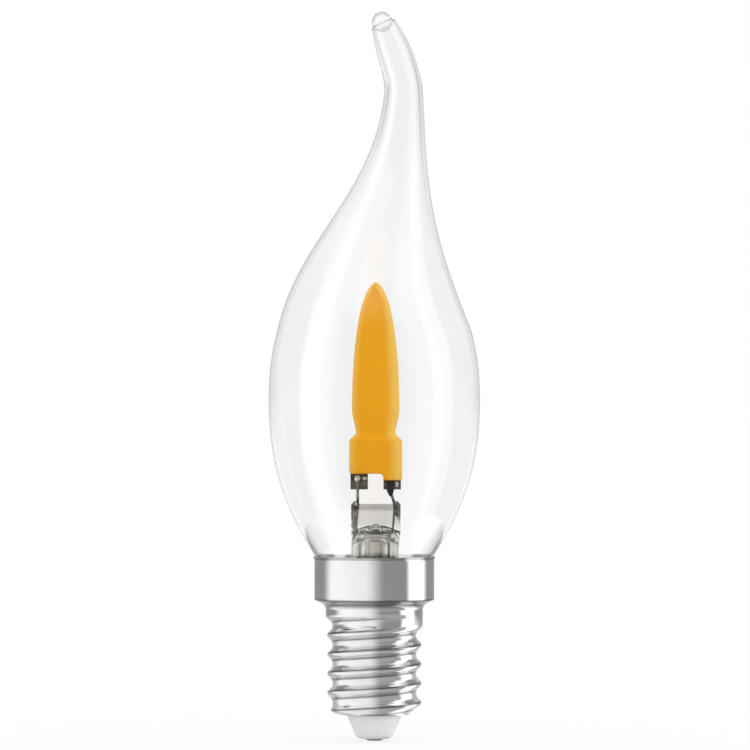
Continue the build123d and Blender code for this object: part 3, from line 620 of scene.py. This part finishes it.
bright_solder = finish(
    "bright_solder", (0.92, 0.91, 0.88), (0.80, 0.78, 0.74), 1600, 0.3, 0.5, bump=0.4, Metallic=0.6
)
glue = finish("conductive_glue", (0.008, 0.008, 0.007), (0.025, 0.022, 0.02), 1300, 0.45, 0.65, bump=0.5)
on_wire = skin(drop((-2.5, -0.6, 38.6), (0.42, 0.34, 0.5), 0.12, 0.1))
on_left_foot = skin(drop((-1.45, -0.45, 38.6), (0.34, 0.2, 0.28), 0.14, 0.2))
on_right_foot = skin(drop((3.25, -0.5, 37.75), (0.26, 0.16, 0.42), 0.1, 0.1))
glue_skin = skin(drop((2.4, -0.62, 37.2), (0.6, 0.4, 1.28), 0.08, 0.35))
bright_joint = piece("solder_creep", ["solder_left"], "solder", on_wire, on_left_foot)
bright_joint.data.materials.append(bright_solder)
pad = piece("pad_solder", [], "solder", on_right_foot)
pad.data.materials.append(bright_solder)
dark_joint = piece("glue_drop", ["solder_right"], "dark_joint", glue_skin)
dark_joint.data.materials.append(glue)

# Glass envelope. Blown from one tube of clear glass, with the top drawn out hot, bent over and
# melted off to a bead. The neck is melted to the stem's flare and cemented into the skirt.

GLASS_WALL, GLASS_NECK, GLASS_NECK_Z, GLASS_AT_LIP = 0.6, 8.17, 21.55, 8.65
BELLY, BELLY_Z, CROWN_LENGTH, CROWN_FULLNESS = 15.54, 49.8, 27.3, 2.4
TAIL, TAIL_END, TAIL_Z, DRAWN_LENGTH = 2.42, 1.8, 105.3, 5.0
DRAWN_THIN, DRAWN_THIN_Z = 0.38, (95, 104.5)
LEAN, LEAN_START, LEAN_END = 4.3, 10.5, 46
HOOK, HOOK_LENGTH, HOOK_POWER = 3.0, 9.5, 1.4
BEAD, STANDOFF, RIM_ROUND = 1.5, 0.399, 0.12
NOTCH, DOME_RIM = [(0.2, 1.6), (0.25, 1.52)], [(0.04, 1.57), (0.1, 1.53)]
MELTED_TAIL, MELTED_TAIL_Z = 0.26, (84, 94)
MELTED_DOME, MELTED_BEAD = (1, 7), (8, 16)  # rings over which the wall turns into the bead
AROUND_GLASS = 128


def envelope_line():
    """Rows of (centre x, height, outside radius, slope of the centreline) from the neck to the tail.

    Below the belly the side is a Bezier curve. Above it the radius falls from belly to tail as
    exp(-(rise / length)^fullness), and the end draws in. The centreline swings to +X by a smooth
    step and then hooks back by a power of the height.
    """
    neck = curve((GLASS_NECK, 25.6), (GLASS_NECK, 26.32), (GLASS_AT_LIP, LIP_Z), count=12)
    side = curve((GLASS_AT_LIP, LIP_Z), (13.6, 34.55), (BELLY, 41.3), (BELLY, BELLY_Z), count=90)
    globe_radius, globe_z = even(np.concatenate([[(GLASS_NECK, GLASS_NECK_Z)], neck, side[1:]]), 0.42).T
    height = np.linspace(BELLY_Z, TAIL_Z, 150)[1:]
    rise = height - BELLY_Z
    radius = TAIL + (BELLY - TAIL) * np.exp(-((rise / CROWN_LENGTH) ** CROWN_FULLNESS))
    radius += (TAIL_END - radius) * np.maximum(0, 1 - (TAIL_Z - height) / DRAWN_LENGTH) ** 2
    hook = HOOK * np.maximum(0, (rise - LEAN_END) / HOOK_LENGTH) ** HOOK_POWER
    lean = LEAN * smooth_step(rise, LEAN_START, LEAN_END) - hook
    globe = np.stack([0 * globe_z, globe_z, globe_radius, 0 * globe_z], 1)
    return np.concatenate([globe, np.stack([lean, height, radius, np.gradient(lean, height)], 1)])


def across(line, radius):
    """Rings square to the centreline: centre + radius (cos a * (1, 0, -slope) / length + sin a * Y)."""
    angle = np.linspace(0, 2 * np.pi, AROUND_GLASS, endpoint=False)
    x, z, slope = line[:, :1], line[:, 1:2], line[:, 3:]
    tilt = 1 / np.hypot(1, slope)
    swing = radius[:, None] * np.cos(angle)
    return np.stack([x + swing * tilt, radius[:, None] * np.sin(angle), z - swing * slope * tilt], -1)


line = envelope_line()
end_x, end_z, _, end_slope = line[-1]
forward_x, forward_z = np.array([end_slope, 1]) / np.hypot(end_slope, 1)


def on_tail(*parts):
    """Rows for across from (distance along the tail's end, radius) pairs."""
    distance, radius = np.concatenate(parts).T
    x, z = end_x + forward_x * distance, end_z + forward_z * distance
    return np.stack([x, z, radius, np.full(len(radius), end_slope)], 1)


def bead(start, stop):
    """Part of the bead's outline by the angle from its far end: (standoff + r cos a, r sin a)."""
    angle = np.radians(np.linspace(start, stop, 24))
    return np.stack([STANDOFF + BEAD * np.cos(angle), BEAD * np.sin(angle)], 1)


rim_angle = np.radians(np.linspace(10, 70, 6))
rim_of_tail = np.stack([RIM_ROUND * np.sin(rim_angle), TAIL_END - RIM_ROUND * (1 - np.cos(rim_angle))], 1)
tip_line = on_tail(rim_of_tail, NOTCH, bead(94, 2))
dome_line = on_tail(DOME_RIM, bead(102, 178))
hollow_line = line[line[:, 1] < TAIL_Z - 0.1]
wall = GLASS_WALL - DRAWN_THIN * smooth_step(hollow_line[:, 1], *DRAWN_THIN_Z)
outer_rings = np.concatenate([across(line, line[:, 2]), across(tip_line, tip_line[:, 2])])
cavity_rings = across(hollow_line, hollow_line[:, 2] - wall)
inner_rings = np.concatenate([cavity_rings, across(dome_line, dome_line[:, 2])])
envelope_skin = skin(np.concatenate([inner_rings[::-1], outer_rings]))
envelope = piece("blown_envelope", ["glass_envelope"], "clear_glass", envelope_skin)
melted = np.concatenate([
    smooth_step(np.arange(len(dome_line))[::-1], *MELTED_DOME),
    MELTED_TAIL * smooth_step(hollow_line[::-1, 1], *MELTED_TAIL_Z),
    MELTED_TAIL * smooth_step(line[:, 1], *MELTED_TAIL_Z),
    smooth_step(np.arange(len(tip_line)), *MELTED_BEAD),
])
mark(envelope, "melted", np.concatenate([np.repeat(melted, AROUND_GLASS), [1, 1]]))

blown = glass("blown_glass", (0.992, 0.995, 0.995), (0.985, 0.99, 0.99), 60, (0.0, 0.004), 0)
nodes, link = blown.node_tree.nodes, blown.node_tree.links.new
# Painted shade: the glass is greyed towards its edges by the Layer Weight facing, faintly on the wall and
# fully on the melted bead.
slant = nodes.new("ShaderNodeLayerWeight")
painted_edge_shade = nodes.new("ShaderNodeMix")
link(reading(blown, "melted"), painted_edge_shade.inputs["Factor"])
link(ranged(blown, slant.outputs["Facing"], 0.5, 1, 0, 0.28, "SMOOTHSTEP"), painted_edge_shade.inputs[2])
link(ranged(blown, slant.outputs["Facing"], 0.1, 0.5, 0, 1, "SMOOTHSTEP"), painted_edge_shade.inputs[3])
cover(blown, painted_edge_shade.outputs[0], (0.48, 0.49, 0.49))
envelope.data.materials.append(blown)

# Basing cement. A ring of pale resin cement between the glass neck and the skirt. It is put in as
# a paste, and baked hard when the cap is set on the glass.

cement = finish("basing_cement", (0.76, 0.73, 0.66), (0.66, 0.63, 0.56), 900, 0.75, 0.9, bump=0.5)
dress(["basing_cement"], cement)

# Floor. A wide pale sweep under the bulb, painted matt. What looks straight at it, or sees it in
# metal or through glass, sees it nearly white, with the bulb's shadow left on it.

FLOOR_REACH, FLOOR_DROP, FLOOR_WHITE = 6.0, 5e-5, 0.8


def math_of(tree, operation, first, second):
    """Output of one step of arithmetic on two outputs, or on an output and a plain number."""
    step = tree.nodes.new("ShaderNodeMath")
    step.operation = operation
    tree.links.new(first, step.inputs[0])
    if isinstance(second, float):
        step.inputs[1].default_value = second
    else:
        tree.links.new(second, step.inputs[1])
    return step.outputs[0]


def sees_backdrop(tree, ray):
    """Output that is 1 for a ray from the camera, off a mirror or through glass."""
    seen = math_of(tree, "MAXIMUM", ray.outputs["Is Camera Ray"], ray.outputs["Is Glossy Ray"])
    return math_of(tree, "MAXIMUM", seen, ray.outputs["Is Transmission Ray"])


def blended(tree, share, first, second, output):
    """Sends two shaders to the tree's output, the second in the share that is given."""
    mix, out = tree.nodes.new("ShaderNodeMixShader"), tree.nodes.new(output)
    tree.links.new(share, mix.inputs[0])
    tree.links.new(first.outputs[0], mix.inputs[1])
    tree.links.new(second.outputs[0], mix.inputs[2])
    tree.links.new(mix.outputs[0], out.inputs["Surface"])


floor_mesh = bpy.data.meshes.new("studio_floor")
floor_corners = FLOOR_REACH * np.array([(-1, -1, 0), (1, -1, 0), (1, 1, 0), (-1, 1, 0)])
floor_mesh.from_pydata(floor_corners - (0, 0, FLOOR_DROP), [], [(0, 1, 2, 3)])
floor = bpy.data.objects.new("studio_floor", floor_mesh)
bpy.context.scene.collection.objects.link(floor)
floor_paint = bpy.data.materials.new("studio_floor")
floor_paint.use_nodes = True
tree = floor_paint.node_tree
tree.nodes.clear()
paint = tree.nodes.new("ShaderNodeBsdfDiffuse")
paint.inputs["Color"].default_value = (0.64, 0.64, 0.64, 1)
white = tree.nodes.new("ShaderNodeEmission")
seen = sees_backdrop(tree, tree.nodes.new("ShaderNodeLightPath"))
blended(tree, math_of(tree, "MULTIPLY", seen, FLOOR_WHITE), paint, white, "ShaderNodeOutputMaterial")
floor_mesh.materials.append(floor_paint)

# Flags and diffusers. Grey card round the bulb, with a broad diffuser on the left and a narrow one
# on the right. A low collar round the cap gives it reflections of its own. Only mirrored rays see
# any of it, so it casts no light or shadow on the matt pieces.

COLLAR, COLLAR_TOP, RING, ROOF_Z, JUST_UNDER = 20, 26.2, 600, 750, 0.02
THREAD_MIRROR = 6.6
BROAD, BROAD_FALL, BROAD_FALL_TURN = 1.3, 0.12, (-80, -24)  # brightness, and turns in degrees
BROAD_START, BROAD_END = (-117, -87), (-20, 22)
NARROW, NARROW_START, NARROW_END = 1.76, (62, 76), (103, 124)
BACK_CARD, BACK_CARD_TURN = 0.2, (150, 180)
IN_GLASS, GLASS_DARK, GLASS_PALE = 1.1, 0.12, 0.75
GLASS_BROAD_START, GLASS_BROAD_END = (-96, -86), (-62, -26)
GLASS_NARROW_START, GLASS_NARROW_END = (63, 71), (93, 101)
MIDDLE_DARK_END, PALE_TURN, GLASS_EDGE, GLASS_EDGE_TURN = (40, 80), (118, 140), 0.2, (145, 178)


def cap_level(turn, grey, wider, later):
    """Brightness that the cap reflects, by the angle from the camera in degrees, positive to the right.

    A broad diffuser stands on the left and fades out before the camera, and a narrow one stands on
    the right, between grey flags. It can reach wider on the left and start later on the right.
    """
    left = BROAD - BROAD_FALL * smooth_step(turn, *BROAD_FALL_TURN) - grey
    left = left * smooth_step(turn + wider, *BROAD_START) * (1 - smooth_step(turn, *BROAD_END))
    right = smooth_step(turn - later, *NARROW_START) * (1 - smooth_step(turn - later, *NARROW_END))
    back = BACK_CARD * smooth_step(np.abs(turn), *BACK_CARD_TURN)
    return grey + left + (NARROW - grey) * right + back


def met_from(turn, radius):
    """Direction of the reflected ray that meets the collar at an angle.

    A wall of the radius sends its ray at angle a off at 2a, which meets the collar at
    2a - arcsin(radius / collar * sin a).
    """
    at = np.linspace(-90, 90, 181)
    meets = 2 * at - np.degrees(np.arcsin(radius / COLLAR * np.sin(np.radians(at))))
    return 2 * np.interp(turn, meets, at)


def glass_level(turn, beside):
    """Brightness that the glass reflects from higher up: the same two lights, and dark in the middle.

    Beyond the lights it goes from what beside says to a paler level, and falls off again straight
    behind, which draws the glass's edge.
    """
    started = smooth_step(turn, *GLASS_BROAD_START)
    left = started * (1 - smooth_step(turn, *GLASS_BROAD_END))
    right = smooth_step(turn, *GLASS_NARROW_START) * (1 - smooth_step(turn, *GLASS_NARROW_END))
    side = beside * (1 - started * (1 - smooth_step(turn, *MIDDLE_DARK_END)))
    turned = np.abs(turn)
    pale = (GLASS_PALE - beside) * smooth_step(turned, *PALE_TURN)
    pale = pale - GLASS_EDGE * smooth_step(turned, *GLASS_EDGE_TURN)
    return GLASS_DARK + np.maximum(np.maximum(left, right) * IN_GLASS, side + pale)


turn = np.linspace(-180, 180, 361)[:-1]
disc = np.array([2, 10, COLLAR])
collar = np.array([0, 15, 18, COLLAR_TOP])
sweep = np.array([20.2, 50, 100, 200, 400, 598])
ring = np.array([0, 50, 100, 200, 420, 480, 540, 600, ROOF_Z])
roof = np.array([450, 250, 2])
far = np.concatenate([disc, np.full(len(collar), COLLAR), sweep, np.full(len(ring), RING), roof])[:, None]
high = np.concatenate([
    0 * disc - JUST_UNDER, collar, 0 * sweep - JUST_UNDER, ring, np.full(len(roof), ROOF_Z)
])[:, None]
flag_points = np.stack([far * np.sin(np.radians(turn)), -far * np.cos(np.radians(turn)), high + 0 * turn], -1)
index = np.arange(flag_points[..., 0].size).reshape(len(far), len(turn))
beside_index = np.roll(index, -1, 1)
flag_faces = np.stack([index[:-1], index[1:], beside_index[1:], beside_index[:-1]], -1)

behind = smooth_step(np.abs(turn), 100, 140)
soft_level = 0.22 + 0.7 * cap_level(turn, 0.4, 0, 0) + 0.3 * behind
thread_level = cap_level(met_from(turn, THREAD_MIRROR), 0.5, 22, 12)
thread_level = thread_level + 0.12 * smooth_step(np.abs(turn), 95, 125)
skirt_level = cap_level(met_from(turn, SKIRT), 0.36, 0, 0)
top = smooth_step(ring, 420, 600)[:, None]
low = 1 - smooth_step(ring, 0, 50)[:, None]
beside = 0.5 - 0.27 * smooth_step(ring, 30, 120)[:, None]
flag_level = np.concatenate([
    np.tile(soft_level, (len(disc), 1)),
    [thread_level, thread_level, skirt_level, skirt_level],
    np.tile(glass_level(turn, 0.5) + 0.2 * behind, (len(sweep), 1)),
    glass_level(turn, beside) * (1 - top) + soft_level * top + 0.2 * behind * low,
    np.tile(soft_level, (len(roof), 1)),
])
flag_mesh = bpy.data.meshes.new("studio_flags")
flag_mesh.from_pydata(flag_points.reshape(-1, 3) * MM, [], flag_faces.reshape(-1, 4).tolist())
flags = bpy.data.objects.new("studio_flags", flag_mesh)
bpy.context.scene.collection.objects.link(flags)
flags.visible_camera = flags.visible_diffuse = flags.visible_shadow = False
mark(flags, "level", flag_level)

flag_paint = bpy.data.materials.new("studio_flags")
flag_paint.use_nodes = True
flag_paint.cycles.emission_sampling = "NONE"
tree = flag_paint.node_tree
tree.nodes.clear()
ray = tree.nodes.new("ShaderNodeLightPath")
mirrored = math_of(tree, "GREATER_THAN", ray.outputs["Glossy Depth"], 0.5)
direct = math_of(tree, "LESS_THAN", ray.outputs["Diffuse Depth"], 0.5)
clear, glow = tree.nodes.new("ShaderNodeBsdfTransparent"), tree.nodes.new("ShaderNodeEmission")
tree.links.new(reading(flag_paint, "level"), glow.inputs["Strength"])
blended(tree, math_of(tree, "MULTIPLY", mirrored, direct), clear, glow, "ShaderNodeOutputMaterial")
flag_mesh.materials.append(flag_paint)

# Studio light. An even white surround for what the camera, the metal and the glass see. The light
# that falls on matt surfaces is soft too, and a little stronger from the right.

LEFT_LIGHT, RIGHT_LIGHT = 1.38, 1.76

world = bpy.data.worlds.new("studio_light")
bpy.context.scene.world = world
world.use_nodes = True
tree = world.node_tree
tree.nodes.clear()
ray = tree.nodes.new("ShaderNodeLightPath")
unscattered = math_of(tree, "LESS_THAN", ray.outputs["Diffuse Depth"], 0.5)
shown = math_of(tree, "MULTIPLY", sees_backdrop(tree, ray), unscattered)
place, axes = tree.nodes.new("ShaderNodeTexCoord"), tree.nodes.new("ShaderNodeSeparateXYZ")
soft, plain = tree.nodes.new("ShaderNodeBackground"), tree.nodes.new("ShaderNodeBackground")
soft.inputs["Color"].default_value = plain.inputs["Color"].default_value = (1, 1, 1, 1)
tree.links.new(place.outputs["Generated"], axes.inputs[0])
strength = ranged(world, axes.outputs["X"], -1, 1, LEFT_LIGHT, RIGHT_LIGHT)
tree.links.new(strength, soft.inputs["Strength"])
blended(tree, shown, soft, plain, "ShaderNodeOutputWorld")

# Camera. Level with the middle of the bulb and far off, so that the sides of the glass run nearly
# parallel. The lens frames a square a little taller than the bulb.

DISTANCE, FRAME, EYE_X, EYE_Z, SENSOR = 0.9, 0.1103, 0.0001, 0.05375, 36

camera = bpy.data.cameras.new("camera")
camera.sensor_width = SENSOR
camera.lens = SENSOR * DISTANCE / FRAME
camera.clip_end = 50
eye = bpy.data.objects.new("camera", camera)
eye.location = (EYE_X, -DISTANCE, EYE_Z)
eye.rotation_euler = (np.pi / 2, 0, 0)
bpy.context.scene.collection.objects.link(eye)
bpy.context.scene.camera = eye
bpy.context.scene.view_settings.view_transform = "Standard"
